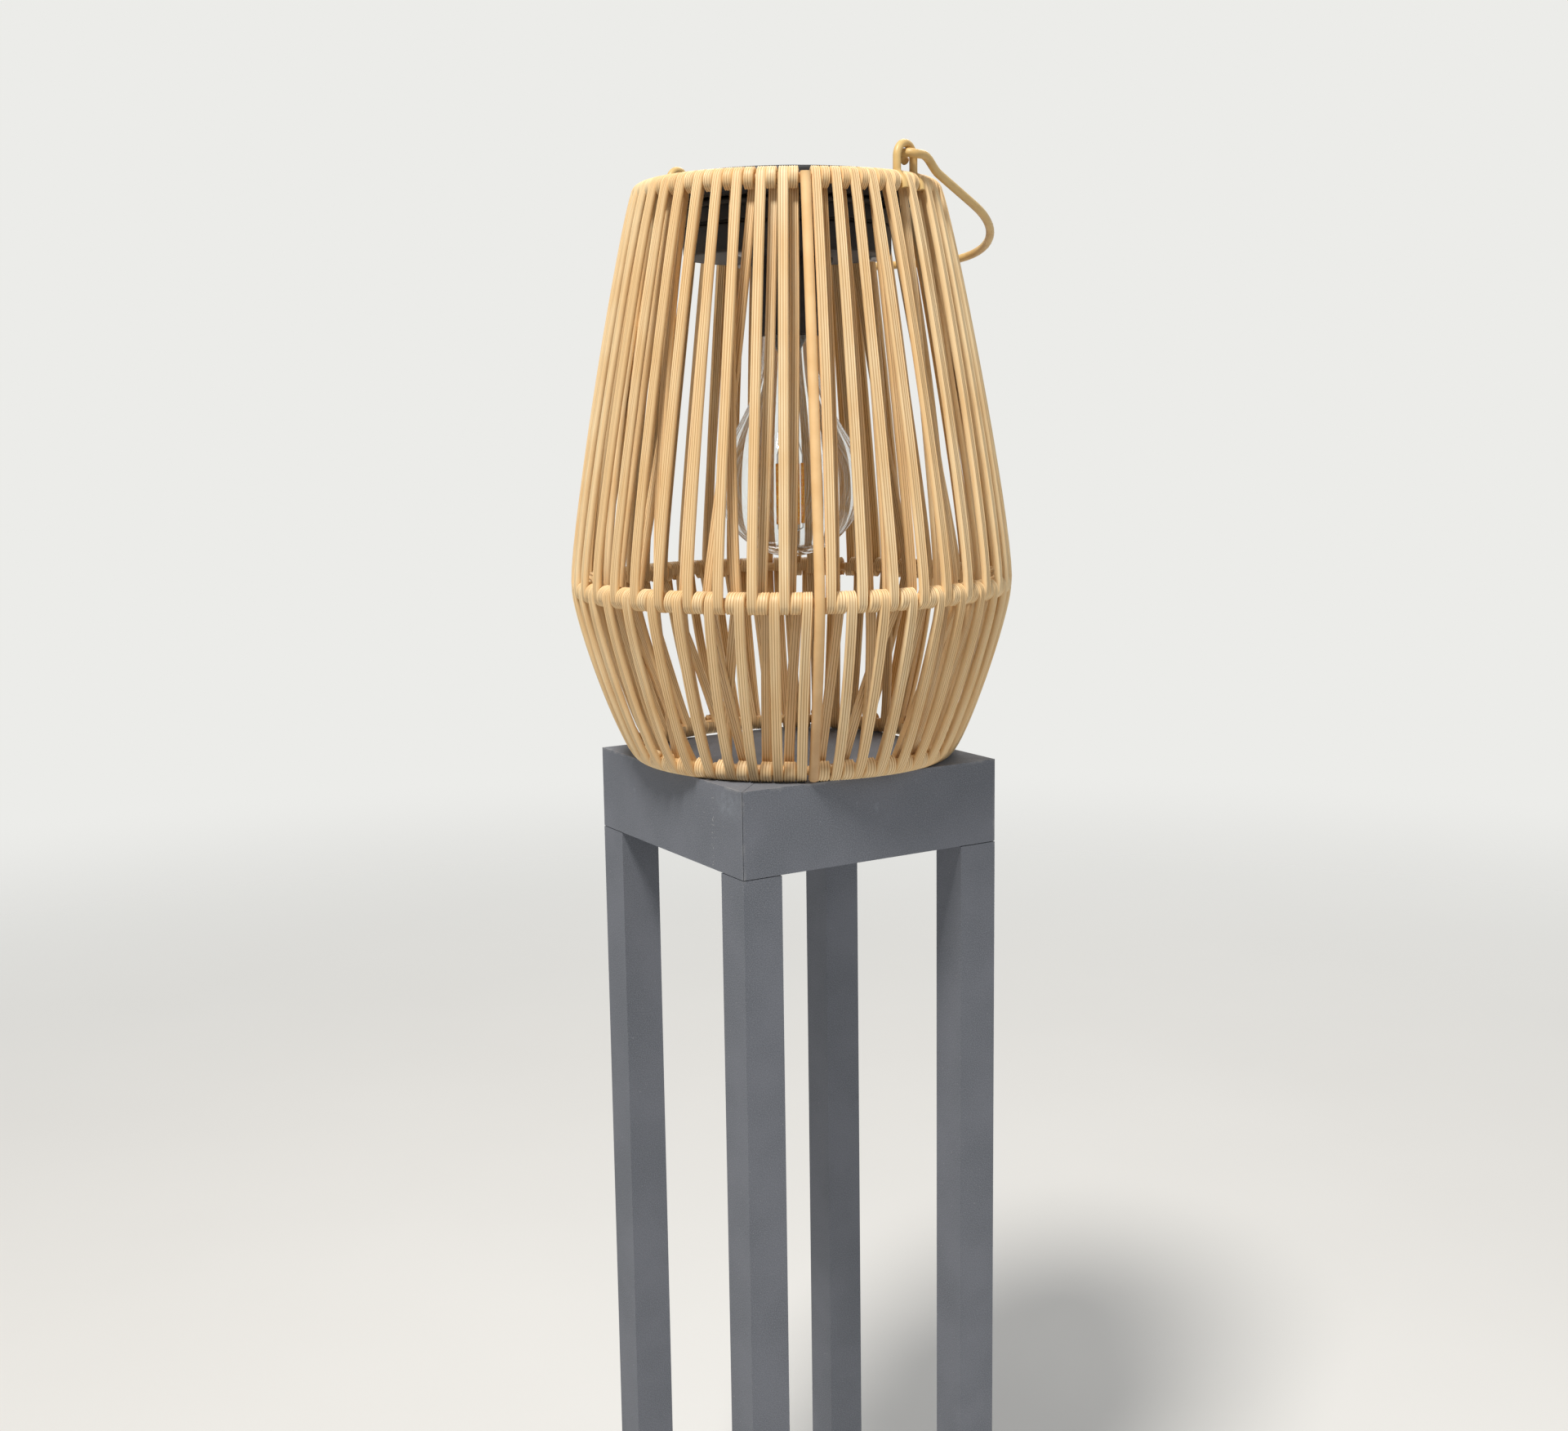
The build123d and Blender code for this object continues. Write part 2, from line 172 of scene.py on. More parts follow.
class Shader:
    """A node tree. Its node method adds a node of any type."""

    def __init__(self, tree):
        self.tree = tree
        tree.nodes.clear()

    def node(self, kind, settings=None, inputs=None, output=0):
        made = self.tree.nodes.new("ShaderNode" + kind)
        for key, value in (settings or {}).items():
            setattr(made, key, value)
        for key, value in (inputs or {}).items():
            if isinstance(value, Value):
                self.tree.links.new(value.socket, made.inputs[key])
            else:
                made.inputs[key].default_value = value
        return Value(self, made.outputs[output]) if made.outputs else made

    def place(self):
        return self.node("TexCoord", output="Object")

    def axes(self, place=None):
        parts = self.node("SeparateXYZ", None, {0: place or self.place()}).socket.node
        return [Value(self, socket) for socket in parts.outputs]

    def stretched(self, scale, place=None):
        inputs = {0: place or self.place(), 1: scale}
        return self.node("VectorMath", {"operation": "MULTIPLY"}, inputs)

    def noise(self, scale, detail=2.0, place=None):
        inputs = {"Vector": place or self.place(), "Scale": scale, "Detail": detail}
        return self.node("TexNoise", None, inputs)

    def mix(self, share, first, second):
        return self.node("Mix", {"data_type": "RGBA"}, {0: share, 6: first, 7: second}, 2)

    def ramp(self, value, low, high):
        settings = {"interpolation_type": "SMOOTHSTEP"}
        return self.node("MapRange", settings, {"Value": value, "From Min": low, "From Max": high})

    def fall(self, value, low, high):
        return 1 - self.ramp(value, low, high)

    def bump(self, height, strength, distance):
        inputs = {"Height": height, "Strength": strength, "Distance": distance}
        return self.node("Bump", None, inputs)

    def attribute(self, name):
        return self.node("Attribute", {"attribute_name": name}, None, "Fac")

    def surface(self, **sockets):
        inputs = {name.replace("_", " "): value for name, value in sockets.items()}
        self.finish(self.node("BsdfPrincipled", None, inputs))

    def finish(self, shade):
        self.node("OutputMaterial", None, {"Surface": shade})


def new_finish(name):
    material = bpy.data.materials.new(name)
    material.use_nodes = True
    return material, Shader(material.node_tree)


def srgb(red, green, blue):
    """A colour as it looks on screen, from 0 to 255, for a shader socket."""
    shares = [part / 255 for part in (red, green, blue)]
    linear = [s / 12.92 if s <= 0.04045 else ((s + 0.055) / 1.055) ** 2.4 for s in shares]
    return (*linear, 1.0)


# Finishes
def rattan_finish():
    """Extruded ribbed strand: fine streaks along it, painted shade in the grooves, each strand its
    own tone.
    """
    material, shader = new_finish("rattan")
    along = shader.node("UVMap", {"uv_map": "strand"})
    tone = shader.attribute("tone")
    ridge_light = shader.attribute("ridge_light")
    streak = shader.noise(1.0, 4.0, shader.stretched((46.0, 30.0, 1.0), along))
    patch = shader.noise(38.0, 2.0)
    pale = shader.mix(tone, srgb(242, 209, 158), srgb(250, 226, 182))
    faded = shader.ramp(streak * 0.65 + patch * 0.35, 0.32, 0.62)
    warm = shader.mix(faded, srgb(234, 195, 139), pale)
    # Painted shade: the grooves between the strand's ribs are coloured dark brown.
    colour = shader.mix(shader.ramp(ridge_light, -0.05, 0.5), srgb(178, 128, 77), warm)
    rough = 0.42 + streak * 0.16
    bump = shader.bump(streak, 0.18, 0.0004)
    shader.surface(Base_Color=colour, Roughness=rough, Normal=bump, Specular_IOR_Level=0.4)
    return material


def wire_finish(name, light, dark):
    """Satin paint over wire, a little uneven."""
    material, shader = new_finish(name)
    mottle = shader.noise(90.0, 3.0)
    grain = shader.noise(1400.0, 2.0)
    colour = shader.mix(shader.ramp(mottle, 0.3, 0.7), light, dark)
    bump = shader.bump(grain + mottle, 0.12, 0.0003)
    shader.surface(Base_Color=colour, Roughness=0.34 + mottle * 0.18, Normal=bump)
    return material


def rib_finish():
    """Satin paint, with painted shade below the waist: browner and darker there."""
    material, shader = new_finish("rib_paint_and_shade")
    height = shader.axes()[2]
    mottle = shader.noise(90.0, 3.0)
    patch = shader.ramp(mottle, 0.3, 0.7)
    above = shader.mix(patch, srgb(243, 202, 146), srgb(233, 189, 131))
    # Painted shade: the rib's colour goes browner and darker from the waist down to the bottom
    # ring.
    painted_shade_below = shader.mix(patch, srgb(206, 168, 121), srgb(194, 154, 108))
    colour = shader.mix(shader.ramp(height, bottom_ring[1], waist_ring[1]), painted_shade_below, above)
    bump = shader.bump(mottle, 0.12, 0.0003)
    shader.surface(Base_Color=colour, Roughness=0.4 + mottle * 0.18, Normal=bump)
    return material


def stand_finish():
    """Grey powder coat: fine grain, cloudy dust, pale wear along the outer edges and a few chips.

    The left side also has a pale rub by the front corner and a short row of specks.
    """
    material, shader = new_finish("stand_paint")
    x, y, z = shader.axes()
    side_x = stand_half - abs(x)
    side_y = stand_half - abs(y)
    below_top = stand_top - z
    edge = (side_x + side_y).least(side_x + below_top).least(side_y + below_top)
    cloud = shader.noise(26.0, 5.0)
    grain = shader.noise(2100.0, 3.0)
    scuff = shader.noise(150.0, 6.0)
    chips = shader.ramp(shader.noise(900.0, 1.0), 0.75, 0.775)
    on_apron = shader.ramp(z, apron_foot - 0.004, apron_foot)
    on_left = shader.fall(x, 0.001 - stand_half, 0.002 - stand_half)
    worn = shader.fall(edge, 0.0002, 0.0014) * shader.ramp(scuff, 0.4, 0.7) * on_apron
    near_top = shader.ramp(z, apron_foot, stand_top)
    smear = shader.ramp(scuff * 0.6 + cloud * 0.4, 0.585, 0.66) * near_top
    rub_length = shader.fall(abs(y - rub_along), 0.004, 0.014)
    rub_height = shader.fall(abs(below_top - rub_below), 0.002, 0.009)
    rub = rub_length * rub_height * on_left * shader.ramp(shader.noise(330.0, 6.0), 0.3, 0.7)
    row = shader.fall(abs(y - specks_along), 0.0004, 0.0016)
    specks = row * shader.ramp(shader.noise(800.0, 1.0), 0.6, 0.66) * on_left * on_apron
    coat = shader.mix(shader.ramp(cloud, 0.3, 0.7), srgb(97, 101, 108), srgb(112, 115, 123))
    grained = shader.mix(shader.ramp(grain, 0.35, 0.75), coat, srgb(132, 135, 143))
    dusty = shader.mix((smear * 0.35).most(rub * 0.34), grained, srgb(150, 157, 165))
    colour = shader.mix((worn * 0.32).most(chips.most(specks) * 0.6), dusty, srgb(176, 175, 174))
    bump = shader.bump(grain + cloud * 0.3, 0.35, 0.0004)
    rough = 0.62 + grain * 0.2
    shader.surface(Base_Color=colour, Roughness=rough, Normal=bump, Specular_IOR_Level=0.35)
    return material


def moulded_finish(name, colour, roughness, grain_size=0.0006):
    """Moulded plastic or rubber with a fine grain."""
    material, shader = new_finish(name)
    grain = shader.noise(1 / grain_size, 2.0)
    cloud = shader.noise(35.0, 3.0)
    paler = tuple(min(part * 1.7 + 0.004, 1.0) for part in colour[:3]) + (1.0,)
    mixed = shader.mix(shader.ramp(cloud, 0.35, 0.75), colour, paler)
    bump = shader.bump(grain, 0.2, 0.0002)
    shader.surface(Base_Color=mixed, Roughness=roughness + grain * 0.15, Normal=bump)
    return material


def metal_finish(name, colour, roughness):
    """Bright metal with drawing marks."""
    material, shader = new_finish(name)
    marks = shader.noise(1.0, 3.0, shader.stretched((300.0, 300.0, 4000.0)))
    bump = shader.bump(marks, 0.15, 0.0002)
    shader.surface(Base_Color=colour, Metallic=1.0, Roughness=roughness + marks * 0.2, Normal=bump)
    return material


def panel_finish():
    """Dark strips of cells under clear resin, with fine silver fingers and bars."""
    material, shader = new_finish("solar_cells")
    x, y, _ = shader.axes()
    strip_pitch = 0.0165
    finger_pitch = 0.0022
    bar_pitch = 0.022
    from_gap = x.folded(strip_pitch / 2)
    from_finger = y.folded(finger_pitch / 2)
    from_bar = (y + bar_pitch / 2).folded(bar_pitch / 2)
    gaps = shader.fall(from_gap, 0.0004, 0.0006)
    fingers = shader.fall(from_finger, 0.00008, 0.00016)
    bars = shader.fall(from_bar, 0.0004, 0.0006)
    grains = shader.noise(260.0, 4.0)
    cell = shader.mix(shader.ramp(grains, 0.35, 0.7), srgb(12, 15, 30), srgb(26, 33, 62))
    lined = shader.mix((fingers * 0.35).most(bars * 0.7), cell, srgb(150, 155, 160))
    colour = shader.mix(gaps, lined, srgb(30, 30, 32))
    rough = 0.3 + grains * 0.1
    shader.surface(Base_Color=colour, Roughness=rough, Coat_Weight=1.0, Coat_Roughness=0.06)
    return material


def board_finish():
    """Green solder mask with paler tracks."""
    material, shader = new_finish("board")
    tracks = shader.node("TexBrick", None, {"Vector": shader.place(), "Scale": 160.0}, "Fac")
    shade = shader.noise(60.0, 2.0)
    mask = shader.mix(shade, srgb(12, 70, 40), srgb(20, 96, 54))
    colour = shader.mix(tracks, mask, srgb(70, 130, 70))
    shader.surface(Base_Color=colour, Roughness=0.35 + shade * 0.1)
    return material


def glass_finish(name, tint):
    """Clear glass, a little wavy."""
    material, shader = new_finish(name)
    waves = shader.noise(55.0, 2.0)
    bump = shader.bump(waves, 0.04, 0.0004)
    shader.surface(Base_Color=tint, Roughness=0.0, Transmission_Weight=1.0, IOR=1.46, Normal=bump)
    return material


def filament_finish():
    """Amber phosphor over a row of small chips."""
    material, shader = new_finish("filament")
    beads = shader.noise(1.0, 1.0, shader.stretched((300.0, 300.0, 900.0)))
    colour = shader.mix(shader.ramp(beads, 0.3, 0.7), srgb(250, 158, 40), srgb(255, 190, 78))
    shader.surface(Base_Color=colour, Roughness=0.5 + beads * 0.1)
    return material


finishes = {
    "stand_paint": stand_finish(),
    "foot_plastic": moulded_finish("foot_plastic", srgb(26, 26, 28), 0.55),
    "frame_paint": wire_finish("frame_paint", srgb(234, 196, 140), srgb(220, 178, 120)),
    "rib_paint_and_shade": rib_finish(),
    "seat_paint": wire_finish("seat_paint", srgb(26, 26, 27), srgb(34, 34, 36)),
    "rattan": rattan_finish(),
    "handle_paint": wire_finish("handle_paint", srgb(222, 188, 124), srgb(206, 168, 104)),
    "unit_plastic": moulded_finish("unit_plastic", srgb(19, 19, 21), 0.42),
    "seal_rubber": moulded_finish("seal_rubber", srgb(30, 30, 31), 0.75),
    "screw_steel": metal_finish("screw_steel", srgb(190, 192, 196), 0.25),
    "panel_glass": panel_finish(),
    "cell_wrap": moulded_finish("cell_wrap", srgb(40, 120, 66), 0.3),
    "contact_metal": metal_finish("contact_metal", srgb(206, 198, 170), 0.3),
    "board": board_finish(),
    "lead_sleeve": moulded_finish("lead_sleeve", srgb(150, 34, 30), 0.35),
    "cap_metal": metal_finish("cap_metal", srgb(205, 206, 206), 0.22),
    "clear_glass": glass_finish("clear_glass", (0.97, 0.985, 0.98, 1.0)),
    "filament": filament_finish(),
}


# Mesh helpers. A grid is an array of rows of points, closed along each row.
def add_object(name, data):
    made = bpy.data.objects.new(name, data)
    bpy.context.scene.collection.objects.link(made)
    return made


def grid_faces(rows, columns, first, looped):
    faces = []
    for row in range(rows if looped else rows - 1):
        low = first + row * columns
        high = first + (row + 1) % rows * columns
        for column in range(columns):
            after = (column + 1) % columns
            faces.append((low + column, low + after, high + after, high + column))
    return faces


def add_piece(name, grids, slot, body, replaced=(), looped=False, sharp=40.0, finish=None):
    """One object from grids, with capped ends, riding on a body in the place of CAD nodes."""
    points = []
    faces = []
    for grid in grids:
        rows, columns = grid.shape[:2]
        first = len(points)
        points.extend(grid.reshape(-1, 3).tolist())
        faces.extend(grid_faces(rows, columns, first, looped))
        if not looped:
            last = first + (rows - 1) * columns
            faces.append(tuple(range(first + columns - 1, first - 1, -1)))
            faces.append(tuple(range(last, last + columns)))
    mesh = bpy.data.meshes.new(name)
    mesh.from_pydata(points, [], faces)
    mesh.polygons.foreach_set("use_smooth", [True] * len(faces))
    mesh.set_sharp_from_angle(angle=math.radians(sharp))
    mesh.materials.append(finishes[finish or slot])
    made = add_object(name, mesh)
    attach(made, body)
    if replaced:
        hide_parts(*replaced)
    return made


def unit_vectors(vectors):
    return vectors / np.linalg.norm(vectors, axis=-1, keepdims=True)


def even_turns(steps):
    return np.arange(steps) * 2 * math.pi / steps


def round_section(sides):
    turns = even_turns(sides)
    return np.stack([np.cos(turns), np.sin(turns)], axis=1)


def wire_grid(route, wire, across, sides=16, looped=False):
    """Round wire along a route of points, where across is any direction off the route's plane."""
    points = np.asarray(route, float)
    if looped:
        runs = np.roll(points, -1, axis=0) - np.roll(points, 1, axis=0)
    else:
        runs = np.gradient(points, axis=0)
    runs = unit_vectors(runs)
    flat = np.broadcast_to(np.asarray(across, float), points.shape)
    side = unit_vectors(flat - (flat * runs).sum(1, keepdims=True) * runs)
    up = np.cross(runs, side)
    section = round_section(sides) * wire / 2
    spread = section[None, :, :1] * side[:, None] + section[None, :, 1:] * up[:, None]
    return points[:, None] + spread


def turned_grid(rows, segments=96, centre=(0.0, 0.0)):
    """Turned form through (radius, height) rows. A radius may be a function of the angle."""
    turns = even_turns(segments)
    made = []
    for radius, height in rows:
        reach = radius(turns) if callable(radius) else np.full(segments, radius)
        x = centre[0] + reach * np.cos(turns)
        y = centre[1] + reach * np.sin(turns)
        made.append(np.stack([x, y, np.full(segments, height)], axis=1))
    return np.array(made)


def bezier(first, lead, follow, last, steps):
    share = np.linspace(0, 1, steps)[:, None]
    back = 1 - share
    ends = back**3 * first + share**3 * last
    return ends + 3 * back**2 * share * lead + 3 * back * share**2 * follow


def eased(outline, radius, steps=4):
    """An open outline of (radius, height) points with its corners rounded."""
    points = np.asarray(outline, float)
    made = [points[0]]
    for before, corner, after in zip(points, points[1:], points[2:]):
        room = min(np.linalg.norm(before - corner), np.linalg.norm(after - corner)) / 2
        reach = min(radius, room)
        start = corner + unit_vectors(before - corner) * reach
        end = corner + unit_vectors(after - corner) * reach
        made.extend(bezier(start, (start + 2 * corner) / 3, (end + 2 * corner) / 3, end, steps))
    made.append(points[-1])
    return made


def turned_points(points, angle):
    """Points of the XZ plane's side at azimuth 0, turned to another azimuth in degrees."""
    cosine = math.cos(math.radians(angle))
    sine = math.sin(math.radians(angle))
    x, y, z = np.asarray(points, float).T
    return np.stack([cosine * x - sine * y, sine * x + cosine * y, z], axis=1)


# Rattan strands
class Wrap:
    """Part of a turn round a ring's wire, from start to end in degrees above its outer side."""

    def __init__(self, ring, start, end, radius=lay):
        steps = max(4, round(abs(end - start) / wrap_step))
        self.turns = np.linspace(start, end, steps)
        angles = np.radians(self.turns)
        self.points = np.array(ring) + radius * np.stack([np.cos(angles), np.sin(angles)], axis=1)
        sense = math.copysign(1, end - start)
        self.headings = sense * np.stack([-np.sin(angles), np.cos(angles)], axis=1)


class Course:
    """A strand's way from ring to ring: (radius, height) points and how far along each is."""

    def __init__(self, high, low, bend, steps=18):
        first = high.points[-1]
        last = low.points[0]
        reach = np.linalg.norm(last - first) * bend
        lead = first + high.headings[-1] * reach
        follow = last - low.headings[0] * reach
        run = bezier(first, lead, follow, last, steps)
        walked = np.cumsum(np.linalg.norm(np.diff(run, axis=0), axis=1))
        between = walked[:-1] / walked[-1]
        self.points = np.concatenate([high.points, run[1:-1], low.points])
        self.share = np.concatenate([np.zeros(len(high.turns)), between, np.ones(len(low.turns))])
        drift = high.turns[-1] + (low.turns[0] - high.turns[-1]) * between
        self.turns = np.concatenate([high.turns, drift, low.turns])


def strand_section():
    """Ribbed section, counter-clockwise, in half widths and half thicknesses, and the share of
    light at each point, low in the grooves where shade is painted.
    """
    shoulder = 0.93
    shoulder_height = 0.62
    edge_light = 0.5
    shoulder_light = 0.7
    steps = range(7)
    face = [(0.75 - 0.25 * i, 1 - groove_depth * (i % 2)) for i in steps]
    half = [(1.0, 0.0), (shoulder, shoulder_height), *face, (-shoulder, shoulder_height)]
    # Painted shade weights: a groove point gets 0, a crest 1, the edges and shoulders in between.
    ridge_lights = [edge_light, shoulder_light, *[1 - i % 2 for i in steps], shoulder_light]
    outline = half + [(-x, -y) for x, y in half]
    return np.array(outline), ridge_lights * 2


section, section_ridge_lights = strand_section()


def strand_grid(course, ends, sway, roll, bow, rooms, wide):
    """One strand between two angles, as wide as its room on each ring in radians allows."""
    share = course.share
    middle = np.sin(math.pi * share)
    angles = ends[0] + (ends[1] - ends[0]) * share + sway * middle
    angles = np.radians(angles + wrap_slant * course.turns / 360)
    radius, height = course.points.T
    radius = radius + bow * middle
    points = np.stack([radius * np.cos(angles), radius * np.sin(angles), height], axis=1)
    runs = unit_vectors(np.gradient(points, axis=0))
    round_way = np.stack([-np.sin(angles), np.cos(angles), np.zeros(len(angles))], axis=1)
    side = unit_vectors(round_way - (round_way * runs).sum(1, keepdims=True) * runs)
    face = np.cross(runs, side)
    lean = np.radians(roll) * middle[:, None]
    across = side * np.cos(lean) + face * np.sin(lean)
    out = face * np.cos(lean) - side * np.sin(lean)
    room = (rooms[0] + (rooms[1] - rooms[0]) * share) * radius - strand_gap
    widths = np.minimum(room, np.where((share == 0) | (share == 1), wide, strand_width))
    ease = 5
    widths = np.convolve(np.pad(widths, ease // 2, "edge"), np.full(ease, 1 / ease), "valid")
    spread = section[None, :, :1] * (across * widths[:, None] / 2)[:, None]
    return points[:, None] + spread + section[None, :, 1:] * out[:, None] * strand_thickness / 2


def mark_strands(piece, grids, tones):
    """Tone of each strand, the share of light on each point of its section for the painted groove
    shade, and a map of places across and along it.
    """
    rows, columns = grids[0].shape[:2]
    mesh = piece.data
    streak_shift = 7
    point_tones = np.repeat(tones, rows * columns)
    tone = mesh.attributes.new("tone", "FLOAT", "POINT")
    tone.data.foreach_set("value", point_tones)
    ridge_light = mesh.attributes.new("ridge_light", "FLOAT", "POINT")
    ridge_light.data.foreach_set("value", np.tile(section_ridge_lights, rows * len(grids)))
    lengths = [np.linalg.norm(np.diff(grid[:, 0], axis=0), axis=1) for grid in grids]
    along = np.concatenate([np.repeat(np.append(0, np.cumsum(run)), columns) for run in lengths])
    across = np.tile(np.arange(columns) / columns, rows * len(grids))
    places = np.stack([across + point_tones * streak_shift, along], axis=1)
    corners = np.zeros(len(mesh.loops), dtype=np.int32)
    mesh.loops.foreach_get("vertex_index", corners)
    layer = mesh.uv_layers.new(name="strand")
    layer.uv.foreach_set("vector", places[corners].astype(np.float32).ravel())


rib_out = (ring_wire + rib_wire) / 2 + seat_gap
rib_angles = [rib_angle, rib_angle + half_turn]
rib_room = rib_wire + 2 * rib_margin
rib_gap = math.degrees(rib_room / (top_ring[0] + rib_out))
foot_gap = math.degrees((eye_wire + 3 * strand_gap) / top_ring[0])
eye_pitch = (eye_turn - rib_gap / 2 - foot_gap) / (units_before_eye + 0.5)
units_after_eye = units_per_half - units_before_eye - 1
after_eye = eye_turn + eye_pitch / 2 + foot_gap
plain_pitch = (half_turn - rib_gap / 2 - after_eye) / units_after_eye


def unit_row(start, pitch, count):
    """Angle and pitch of each unit of strands in a row whose first edge is at start."""
    return [(start + pitch * (i + 0.5), pitch) for i in range(count)]


def top_units():
    """The units on the top ring, where one in each half is inside an eye."""
    found = []
    for start in rib_angles:
        found += unit_row(start + rib_gap / 2, eye_pitch, units_before_eye)
        found.append((start + eye_turn, eye_pitch))
        found += unit_row(start + after_eye, plain_pitch, units_after_eye)
    return found


def even_units(ring):
    """The units on a ring where only the ribs take room."""
    gap = math.degrees(rib_room / (ring[0] + rib_out))
    pitch = (half_turn - gap) / units_per_half
    found = []
    for start in rib_angles:
        found += unit_row(start + gap / 2, pitch, units_per_half)
    return found


units = {"top": top_units(), "waist": even_units(waist_ring), "bottom": even_units(bottom_ring)}
over_wrap = Wrap(waist_ring, 172, 205, lay + strand_thickness + strand_gap)
courses = {
    "upper_outer": Course(Wrap(top_ring, 205, 23), Wrap(waist_ring, -12, -205), upper_bend),
    "upper_inner": Course(Wrap(top_ring, -75, 196), over_wrap, upper_bend),
    "lower_inner": Course(Wrap(waist_ring, -75, 172), Wrap(bottom_ring, -207, 70), lower_bend),
    "lower_outer": Course(Wrap(waist_ring, 205, 6), Wrap(bottom_ring, -50, -205), lower_bend),
}
# Place at the higher and at the lower ring, as a share of a unit's pitch from its middle.
slots = {
    "upper_outer": (-1 / 4, -1 / 3),
    "upper_inner": (1 / 4, -1 / 10),
    "lower_inner": (0, -1 / 4),
    "lower_outer": (1 / 3, 1 / 4),
}
# Most that a strand strays from those places.
jitters = {
    "upper_outer": (top_jitter, waist_jitter),
    "upper_inner": (top_jitter, inner_waist_jitter),
    "lower_inner": (waist_jitter, foot_jitter),
    "lower_outer": (waist_jitter, foot_jitter),
}
# Share of a unit's pitch that one strand may fill.
room_shares = {
    ("top", "outer"): 1 / 2,
    ("top", "inner"): 1 / 2,
    ("waist", "outer"): 1 / 3,
    ("waist", "inner"): 0.38,
    ("bottom", "outer"): 0.48,
    ("bottom", "inner"): 0.55,
}


def make_strands(name, chance):
    """All the strands of one layer, each with its own small faults of place, lean and twist."""
    half, layer = name.split("_")
    rings = ("top", "waist") if half == "upper" else ("waist", "bottom")
    wide = coil_width if layer == "inner" else strand_width
    feet = list(units[rings[1]])
    bows = [0.0] * len(feet)
    if layer == "inner":
        for i in range(1, len(feet) - 1, crossing_step):
            if chance.random() < crossing_share and (i + 1) % units_per_half:
                feet[i], feet[i + 1] = feet[i + 1], feet[i]
                bows[i], bows[i + 1] = crossing_bow, -crossing_bow
    grids = []
    tones = []
    for head, foot, bow in zip(units[rings[0]], feet, bows):
        angles = []
        rooms = []
        ends = zip(rings, (head, foot), slots[name], jitters[name])
        for ring, (angle, pitch), slot, jitter in ends:
            angles.append(angle + slot * pitch + chance.uniform(-jitter, jitter))
            rooms.append(math.radians(pitch) * room_shares[ring, layer])
        sway = chance.uniform(-strand_sway, strand_sway)
        roll = chance.uniform(-strand_roll, strand_roll)
        grids.append(strand_grid(courses[name], angles, sway, roll, bow, rooms, wide))
        tones.append(chance.random())
    piece = add_piece(f"{name}_rattan", grids, "rattan", "lantern", [f"{name}_strands"], sharp=70.0)
    mark_strands(piece, grids, tones)


chance = random.Random(strand_seed)
for name in courses:
    make_strands(name, chance)


# Lantern frame
def circle_route(ring, steps=144):
    turns = even_turns(steps)
    radius, height = ring
    level = np.full(steps, height)
    return np.stack([radius * np.cos(turns), radius * np.sin(turns), level], axis=1)


def make_ring(name, ring, wire, node, slot="frame_paint"):
    grid = wire_grid(circle_route(ring), wire, (0, 0, 1), looped=True)
    add_piece(name, [grid], slot, "lantern", [node], looped=True)


make_ring("top_hoop", top_ring, ring_wire, "top_ring")
make_ring("waist_hoop", waist_ring, ring_wire, "waist_ring")
make_ring("bottom_hoop", bottom_ring, ring_wire, "bottom_ring")
make_ring("seat_hoop", ring_of("seat_ring", seat_wire), seat_wire, "seat_ring", "seat_paint")


def slope(lean):
    """Direction of a run down the lantern that leans outwards by lean per unit of drop."""
    return unit_vectors(np.array([lean, -1.0]))


def rib_route():
    """A rib's (radius, height) points, down the outside of the three rings."""
    high = np.array([top_ring[0] + rib_out, top_ring[1]])
    mid = np.array([waist_ring[0] + rib_out, waist_ring[1]])
    low = np.array([bottom_ring[0] + rib_out, bottom_ring[1]])
    outwards = slope(0.25)
    upright = slope(-0.04)
    inwards = slope(-0.5)
    upper_reach = (high[1] - mid[1]) * rib_upper_bend
    lower_reach = (mid[1] - low[1]) * rib_lower_bend
    upper = bezier(high, high + outwards * upper_reach, mid - upright * upper_reach, mid, 22)
    lower = bezier(mid, mid + upright * lower_reach, low - inwards * lower_reach, low, 16)
    head = np.array([0.0, ring_wire / 2])
    return np.concatenate([[high + head], upper, lower[1:], [low + inwards * rib_foot]])


rib_points = [(radius, 0.0, height) for radius, height in rib_route()]
ribs = [wire_grid(turned_points(rib_points, angle), rib_wire, turned_points([(0, 1, 0)], angle)[0])
        for angle in rib_angles]
add_piece("ribs", ribs, "frame_paint", "lantern", ["frame_ribs"], finish="rib_paint_and_shade")


# Handle and its eyes
eye_angle = rib_angle + eye_turn
eye_half = top_ring[0] * math.sin(math.radians((eye_pitch + foot_gap) / 2))


def arc_route(centre_x, centre_y, radius, start, end, steps):
    turns = np.radians(np.linspace(start, end, steps))
    return [(centre_x + radius * math.cos(t), centre_y + radius * math.sin(t)) for t in turns]


def eye_route():
    """An arch over the ring, with its feet bent out to lie on the ring's outer side."""
    centre = top_ring[1] + eye_rise - eye_half
    foot_radius = top_ring[0] + (ring_wire + eye_wire) / 2 + seat_gap
    foot_end = np.array([foot_radius, top_ring[1] - 0.0028])
    foot_bend = np.array([foot_radius, top_ring[1] + 0.0016])
    leg_top = top_ring[1] + 0.0058
    leg_bend = np.array([top_ring[0], leg_top - 0.0036])
    leg = bezier(foot_end, foot_bend, leg_bend, np.array([top_ring[0], leg_top]), 9)
    left = [(radius, -eye_half, height) for radius, height in leg]
    bow = arc_route(0, centre, eye_half, 180, 0, 22)
    arch = [(top_ring[0], along, height) for along, height in bow]
    right = [(radius, eye_half, height) for radius, height in leg[::-1]]
    return left + arch + right


